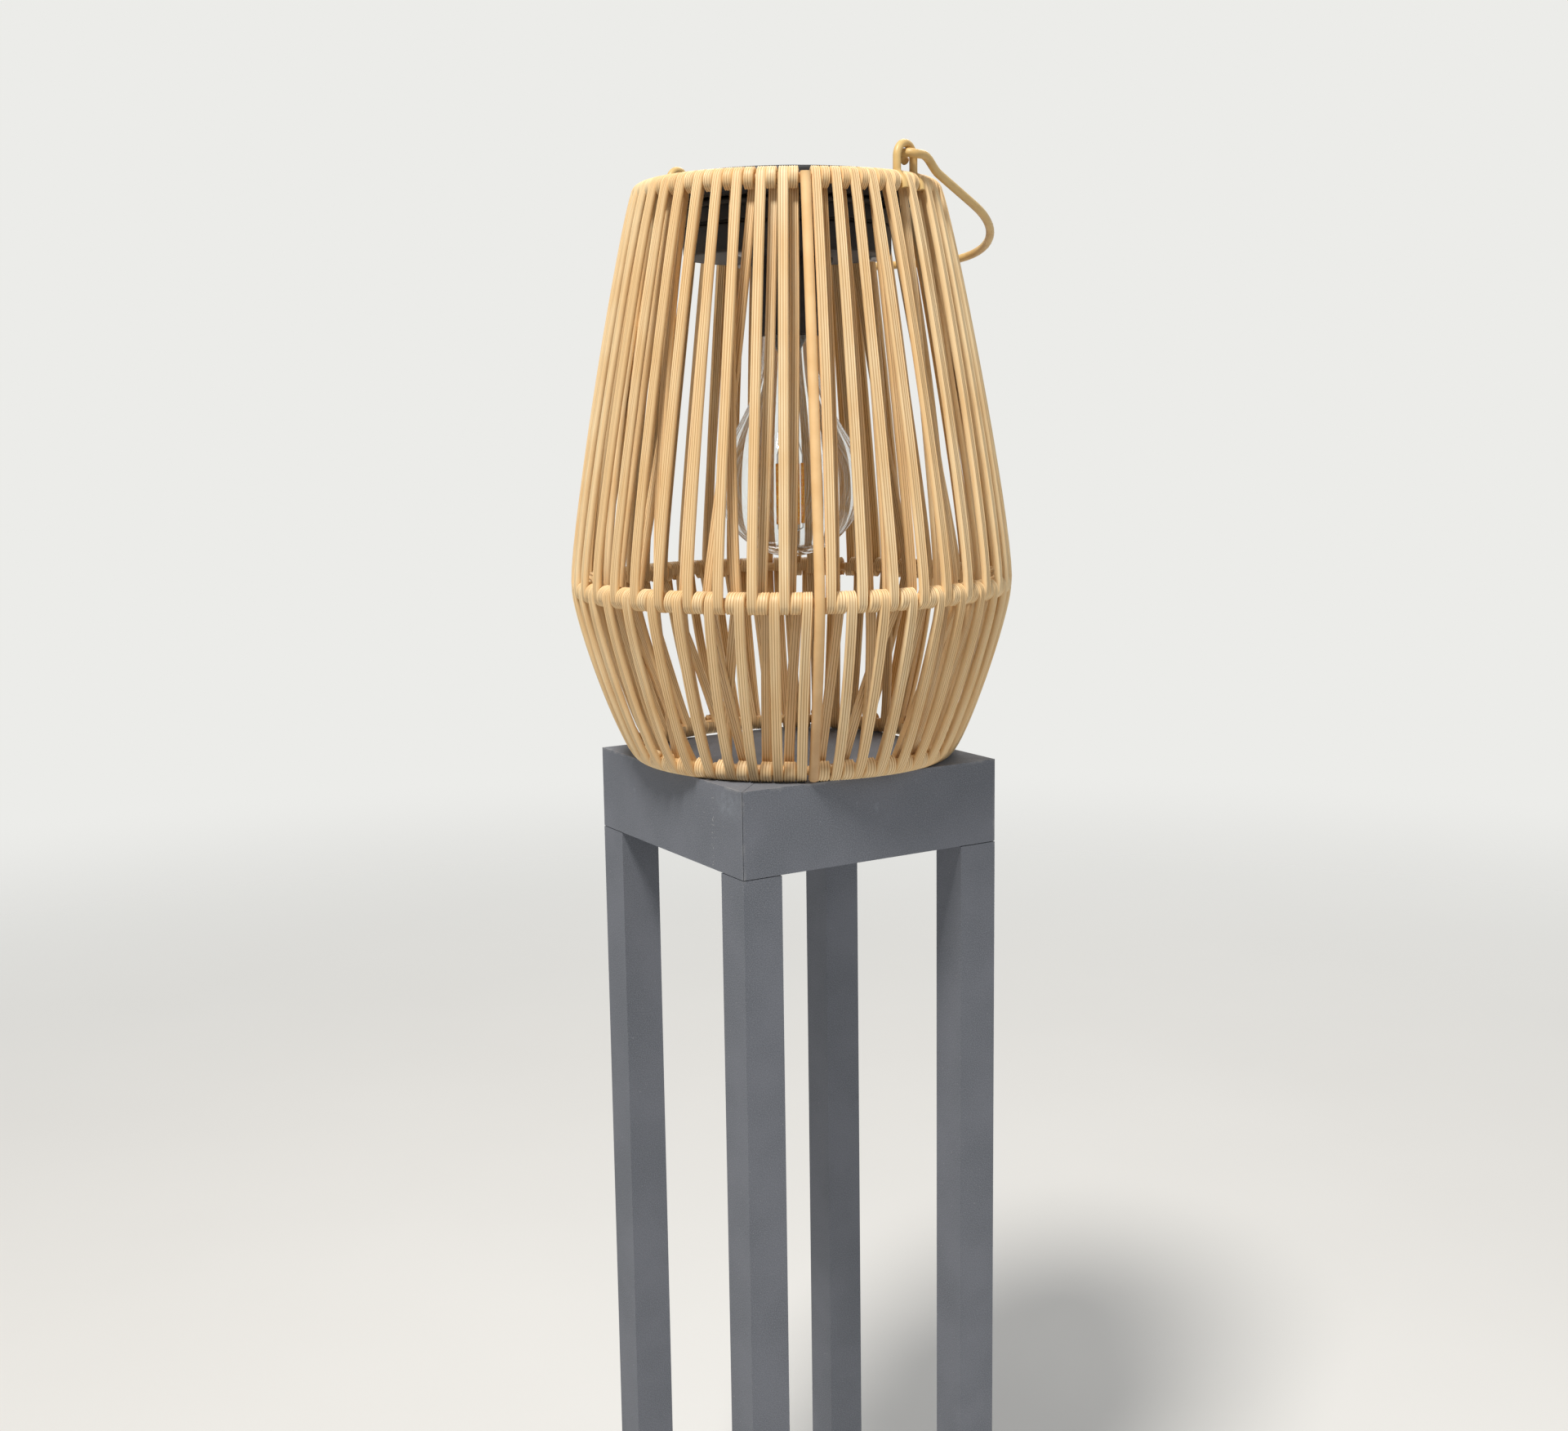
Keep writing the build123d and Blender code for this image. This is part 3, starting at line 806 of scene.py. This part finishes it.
eyes = [wire_grid(turned_points(eye_route(), angle), eye_wire, turned_points([(1, 0, 0)], angle)[0])
        for angle in (eye_angle, eye_angle + half_turn)]
add_piece("handle_loops", eyes, "handle_paint", "lantern", ["handle_eyes"])

axis_z = top_ring[1] + eye_rise - eye_wire / 2 - handle_clearance - handle_wire / 2
side_step = eye_wire / 2 + handle_side_gap + handle_wire / 2
handle_half = top_ring[0] + side_step
tail_half = top_ring[0] - side_step


def handle_side():
    """Half of the handle in its own plane, from the tail inside an eye to the middle."""
    inner = arc_route(tail_half + handle_bend, handle_bend, handle_bend, 180, 270, 7)
    outer = arc_route(handle_half - handle_bend, handle_bend, handle_bend, 270, 360, 7)
    corner_x = handle_half - handle_corner
    corner_y = handle_reach - handle_corner
    bow = arc_route(corner_x, corner_y, handle_corner, 0, 90, 18)
    leg_steps = 20
    leg_length = corner_y - handle_bend
    leg = [(handle_half, handle_bend + leg_length * i / leg_steps) for i in range(1, leg_steps)]
    return [(tail_half, handle_tail)] + inner + outer + leg + bow


def hump(x, y):
    """Rise of the handle's small hump, next to its eye on the outside."""
    if abs(x) <= top_ring[0]:
        return 0.0
    return handle_hump * math.sin(math.pi * min(y / hump_length, 1)) ** 2


fold = math.radians(handle_fold)
right_side = handle_side()
flat_route = right_side + [(-x, y) for x, y in reversed(right_side)]
handle_route = [
    (x, y * math.cos(fold), axis_z + hump(x, y) - y * math.sin(fold)) for x, y in flat_route]
handle_normal = turned_points([(0, math.sin(fold), math.cos(fold))], eye_angle)[0]
handle = wire_grid(turned_points(handle_route, eye_angle), handle_wire, handle_normal)
add_piece("bail", [handle], "handle_paint", "handle", ["bail_handle"])


# Solar lamp unit
def span_of(node):
    low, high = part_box(node)
    return high.x, low.z, high.z


rim_radius, shell_foot, rim_top = span_of("housing_top")
housing_radius, base_z, seam_z = span_of("housing_base")
seal_radius = span_of("housing_seal")[0]
# The CAD's seat wire has six sides, and one of its flats is on top.
seat_flat = seat_wire / 2 * math.cos(math.pi / 6)
rim_foot = ring_of("seat_ring", seat_wire)[1] + seat_flat + seat_gap
panel_half, panel_foot, _ = span_of("solar_panel")
wall = 0.0022
panel_gap = 0.0002
recess_edge = 0.0004
past_corners = 1.5
rim_edge = 0.0016
cup_edge = 0.0022
cup_centre = 0.001


def square(half):
    """Radius of a square outline at each angle."""
    return lambda turns: half / np.maximum(abs(np.cos(turns)), abs(np.sin(turns)))


def make_housing():
    recess = panel_half + panel_gap
    outside = [
        (housing_radius - wall, shell_foot),
        (housing_radius, shell_foot),
        (housing_radius, rim_foot),
        (rim_radius, rim_foot),
        (rim_radius, rim_top),
        (recess * past_corners, rim_top),
    ]
    rows = [tuple(row) for row in eased(outside, rim_edge)]
    rows += [
        (square(recess + recess_edge), rim_top),
        (square(recess), rim_top - recess_edge),
        (square(recess), panel_foot),
    ]
    add_piece("lamp_rim", [turned_grid(rows)], "unit_plastic", "lamp_unit", ["housing_top"])
    cup = [
        (cup_centre, base_z),
        (housing_radius, base_z),
        (housing_radius, seam_z),
        (housing_radius - wall, seam_z),
    ]
    cup_rows = eased(cup, cup_edge)
    add_piece("lamp_cup", [turned_grid(cup_rows)], "unit_plastic", "lamp_unit", ["housing_base"])
    seal = [
        (seal_radius - wall, seam_z),
        (seal_radius, seam_z),
        (seal_radius, shell_foot),
        (seal_radius - wall, shell_foot),
    ]
    add_piece("lamp_seal", [turned_grid(seal)], "seal_rubber", "lamp_unit", ["housing_seal"])


make_housing()

socket_radius, socket_foot, socket_top = span_of("lamp_socket")
socket_mouth = 0.0156
socket_flare = 0.0004
socket_step = 0.008
socket_shoulder = 0.010
socket_edge = 0.0009
cap_radius, neck_z, cap_top = span_of("bulb_cap")
thread_depth = 0.0005
thread_steps = 36
steps_per_thread = 6


def make_socket():
    bore = socket_mouth - wall
    outline = [
        (bore, socket_top - wall),
        (bore, socket_foot),
        (socket_mouth, socket_foot),
        (socket_mouth + socket_flare, socket_foot + socket_step),
        (socket_radius, socket_foot + socket_shoulder),
        (socket_radius, socket_top),
    ]
    rows = eased(outline, socket_edge)
    add_piece("lamp_holder", [turned_grid(rows, 64)], "unit_plastic", "lamp_unit", ["lamp_socket"])
    threads = []
    for i in range(thread_steps + 1):
        crest = thread_depth * math.cos(i * 2 * math.pi / steps_per_thread)
        height = neck_z + (cap_top - neck_z) * i / thread_steps
        threads.append((cap_radius - thread_depth + crest, height))
    add_piece("bulb_thread", [turned_grid(threads, 48)], "cap_metal", "lamp_unit", ["bulb_cap"])


make_socket()

bulb_radius, bulb_foot, bulb_top = span_of("bulb_glass")
bulb_neck = 0.0122
bulb_wall = 0.0010
neck_bend = 0.42
stem_radius = 0.003
stem_tip = 0.0004
stem_flare = 0.012
stem_edge = 0.004
# Degrees from level: where the CAD's globe ends below, and where the round one starts and ends.
cad_globe_foot = 82
globe_foot = -89
globe_top = 32


def bulb_outline(inset):
    """Globe and flared neck of the bulb, from its foot up, as (radius, height) points."""
    radius = bulb_radius - inset
    centre = bulb_foot + bulb_radius * math.sin(math.radians(cad_globe_foot))
    turns = np.radians(np.linspace(globe_foot, globe_top, 30))
    globe = np.stack([radius * np.cos(turns), centre + radius * np.sin(turns)], axis=1)
    join = globe[-1]
    heading = np.array([-math.sin(turns[-1]), math.cos(turns[-1])])
    neck = np.array([bulb_neck - inset, bulb_top])
    reach = (bulb_top - join[1]) * neck_bend
    flare = bezier(join, join + heading * reach, neck - np.array([0, reach]), neck, 16)
    return np.concatenate([globe, flare[1:]])


def make_bulb():
    rows = np.concatenate([bulb_outline(0.0), bulb_outline(bulb_wall)[::-1]])
    add_piece("bulb", [turned_grid(rows)], "clear_glass", "lamp_unit", ["bulb_glass"])
    stem_low, stem_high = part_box("bulb_stem")
    stem = [
        (stem_tip, stem_low.z),
        (stem_radius, stem_low.z),
        (stem_radius, socket_foot - stem_flare),
        (stem_high.x, stem_high.z),
    ]
    stem_grid = turned_grid(eased(stem, stem_edge, 8), 48)
    add_piece("bulb_mount", [stem_grid], "clear_glass", "lamp_unit", ["bulb_stem"])


make_bulb()


def make_filaments():
    low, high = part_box("bulb_filaments")
    rod_radius = 0.0009
    rod_tip = 0.00005
    rod_edge = 0.0005
    rod_length = 0.029
    lead_wire = 0.0006
    circle = high.x - rod_radius
    foot = low.z
    rod_top = foot + rod_length
    rod = [(rod_tip, foot), (rod_radius, foot), (rod_radius, rod_top), (rod_tip, rod_top)]
    rod_rows = eased(rod, rod_edge)
    upper_lead = [
        (0.0031, 0, high.z),
        (0.0045, 0, high.z - 0.002),
        (circle, 0, rod_top + 0.004),
        (circle, 0, rod_top - 0.001),
    ]
    lower_lead = [
        (circle, 0, foot + 0.001),
        (circle, 0, foot - 0.002),
        (0.003, 0, foot - 0.004),
        (0.0005, 0, foot - 0.004),
    ]
    rods = []
    leads = []
    for angle in (0, 90, 180, 270):
        centre = turned_points([(circle, 0, 0)], angle)[0]
        rods.append(turned_grid(rod_rows, 12, centre[:2]))
        across = turned_points([(0, 1, 0)], angle)[0]
        for route in (upper_lead, lower_lead):
            leads.append(wire_grid(turned_points(route, angle), lead_wire, across, 8))
    add_piece("filament_rods", rods, "filament", "lamp_unit", ["bulb_filaments"])
    add_piece("filament_leads", leads, "cap_metal", "lamp_unit")


make_filaments()


def make_button():
    low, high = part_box("switch_button")
    radius = (high.x - low.x) / 2
    centre = (0.0, (low.y + high.y) / 2)
    dish_z = low.z + 0.0004
    back_z = low.z + 0.0025
    dish_centre = 0.0005
    dish_radius = radius * 0.6
    lip_radius = radius * 0.8
    pin_radius = 0.0025
    button_edge = 0.0006
    outline = [
        (dish_centre, dish_z),
        (dish_radius, dish_z),
        (lip_radius, low.z),
        (radius, low.z),
        (radius, back_z),
        (pin_radius, back_z),
        (pin_radius, high.z),
    ]
    button = turned_grid(eased(outline, button_edge), 40, centre)
    add_piece("power_button", [button], "foot_plastic", "switch", ["switch_button"])


make_button()


def cross(radius):
    """Radius of a cross-shaped driver recess at each angle."""
    core = 0.45
    return lambda turns: radius * (core + (1 - core) * np.cos(2 * turns) ** 8)


def make_screws():
    low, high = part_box("housing_screws")
    head_radius = 0.0030
    shank_radius = 0.0015
    head_back = low.z + 0.0018
    circle = high.y - head_radius
    rows = [
        (cross(0.0012), low.z + 0.0009),
        (cross(0.0014), low.z + 0.0001),
        (0.0019, low.z),
        (0.0026, low.z + 0.0003),
        (head_radius, low.z + 0.0010),
        (head_radius, head_back),
        (shank_radius, head_back),
        (shank_radius, high.z),
    ]
    grids = []
    for angle in (90, 210, 330):
        centre = turned_points([(circle, 0, 0)], angle)[0]
        grids.append(turned_grid(rows, 32, centre[:2]))
    add_piece("cup_screws", grids, "screw_steel", "lamp_unit", ["housing_screws"])


make_screws()

# CAD nodes that keep their shape
node_finishes = {
    "stand_paint": [name for name in nodes if name.startswith(("apron_", "leg_"))] + ["top_pan"],
    "foot_plastic": ["foot_caps", "corner_connectors", "switch_body", "battery_cradle"],
    "seat_paint": ["seat_brackets"],
    "panel_glass": ["solar_panel"],
    "cell_wrap": ["battery"],
    "contact_metal": ["battery_contacts"],
    "board": ["circuit_board"],
    "lead_sleeve": ["lamp_leads"],
}


def dress_node(name, slot):
    node = nodes[name]
    node.data.materials.clear()
    node.data.materials.append(finishes[slot])
    soften = node.modifiers.new("edges", "BEVEL")
    soften.width = stand_edge if slot == "stand_paint" else small_edge
    soften.segments = 3
    soften.limit_method = "ANGLE"


for slot, names in node_finishes.items():
    for name in names:
        dress_node(name, slot)


# Stage, in metres
floor_reach = 6.0
fade_start = 0.7
fade_end = 2.6
aim_rise = 0.1


def make_floor():
    """Pale floor that fades out to the backdrop away from the stand."""
    material, shader = new_finish("floor")
    x, y, _ = shader.axes()
    away = (x * x + y * y) ** 0.5
    mottle = shader.noise(3.0, 3.0)
    colour = shader.mix(mottle, srgb(232, 231, 228), srgb(238, 237, 234))
    ground = shader.node("BsdfDiffuse", None, {"Color": colour})
    clear = shader.node("BsdfTransparent")
    faded = shader.ramp(away, fade_start, fade_end)
    shader.finish(shader.node("MixShader", None, {0: faded, 1: ground, 2: clear}))
    mesh = bpy.data.meshes.new("floor")
    signs = ((-1, -1), (1, -1), (1, 1), (-1, 1))
    corners = [(across * floor_reach, along * floor_reach, 0) for across, along in signs]
    mesh.from_pydata(corners, [], [(0, 1, 2, 3)])
    mesh.materials.append(material)
    floor = add_object("floor", mesh)


def make_world():
    """A dim dome for light and a pale backdrop for the eye, mirrors and glass."""
    world = bpy.data.worlds.new("studio")
    world.use_nodes = True
    bpy.context.scene.world = world
    shader = Shader(world.node_tree)
    paths = shader.node("LightPath").socket.node.outputs
    kinds = ("Camera", "Glossy", "Transmission")
    direct, mirrored, through = [Value(shader, paths[f"Is {kind} Ray"]) for kind in kinds]
    seen = direct.most(mirrored).most(through)
    dome = shader.node("Background", None, {"Color": (0.96, 0.98, 1.0, 1.0), "Strength": 0.26})
    backdrop = shader.node("Background", None, {"Color": srgb(236, 236, 233), "Strength": 1.0})
    shade = shader.node("MixShader", None, {0: seen, 1: dome, 2: backdrop})
    shader.node("OutputWorld", None, {"Surface": shade})


def make_light(name, azimuth, elevation, distance, size, power, tint):
    """Area light round the lantern. Azimuth 0 is the camera's side and positive is to its right."""
    data = bpy.data.lights.new(name, "AREA")
    data.shape = "DISK"
    data.size = size
    data.energy = power
    data.color = tint
    light = add_object(name, data)
    turn = math.radians(azimuth + camera_turn - 90)
    rise = math.radians(elevation)
    aim = Vector((0, 0, stand_top + aim_rise))
    level = math.cos(rise)
    way = Vector((math.cos(turn) * level, math.sin(turn) * level, math.sin(rise)))
    facing = way.to_track_quat("Z", "Y").to_matrix().to_4x4()
    light.matrix_world = Matrix.Translation(aim + way * distance) @ facing


def make_camera():
    data = bpy.data.cameras.new("camera")
    data.sensor_fit = "HORIZONTAL"
    data.sensor_width = sensor_width
    data.lens = sensor_width * focal_pixels / image_width
    data.clip_start = 0.01
    camera = add_object("camera", data)
    yaw = math.radians(camera_yaw)
    pitch = math.radians(camera_pitch)
    roll = math.radians(camera_roll)
    level = math.cos(pitch)
    ahead = Vector((math.sin(yaw) * level, math.cos(yaw) * level, -math.sin(pitch)))
    right = Vector((math.cos(yaw), -math.sin(yaw), 0))
    up = right.cross(ahead)
    rolled_right = right * math.cos(roll) + up * math.sin(roll)
    rolled_up = up * math.cos(roll) - right * math.sin(roll)
    axes = Matrix((rolled_right, rolled_up, -ahead)).transposed().to_4x4()
    place = Matrix.Translation(Vector((0, -camera_distance, stand_top + camera_rise)))
    camera.matrix_world = Matrix.Rotation(math.radians(camera_turn), 4, "Z") @ place @ axes
    bpy.context.scene.camera = camera


make_floor()
make_world()
# Degrees round and up, distance and size in metres, watts and tint.
make_light("key", -26, 60, 2.4, 0.5, 63, (1.0, 0.97, 0.925))
make_light("fill", 60, 30, 2.6, 1.6, 8, (0.95, 0.97, 1.0))
make_light("back", 165, 40, 2.4, 1.2, 15, (1.0, 0.98, 0.95))
make_camera()
bpy.context.scene.view_settings.view_transform = "Standard"
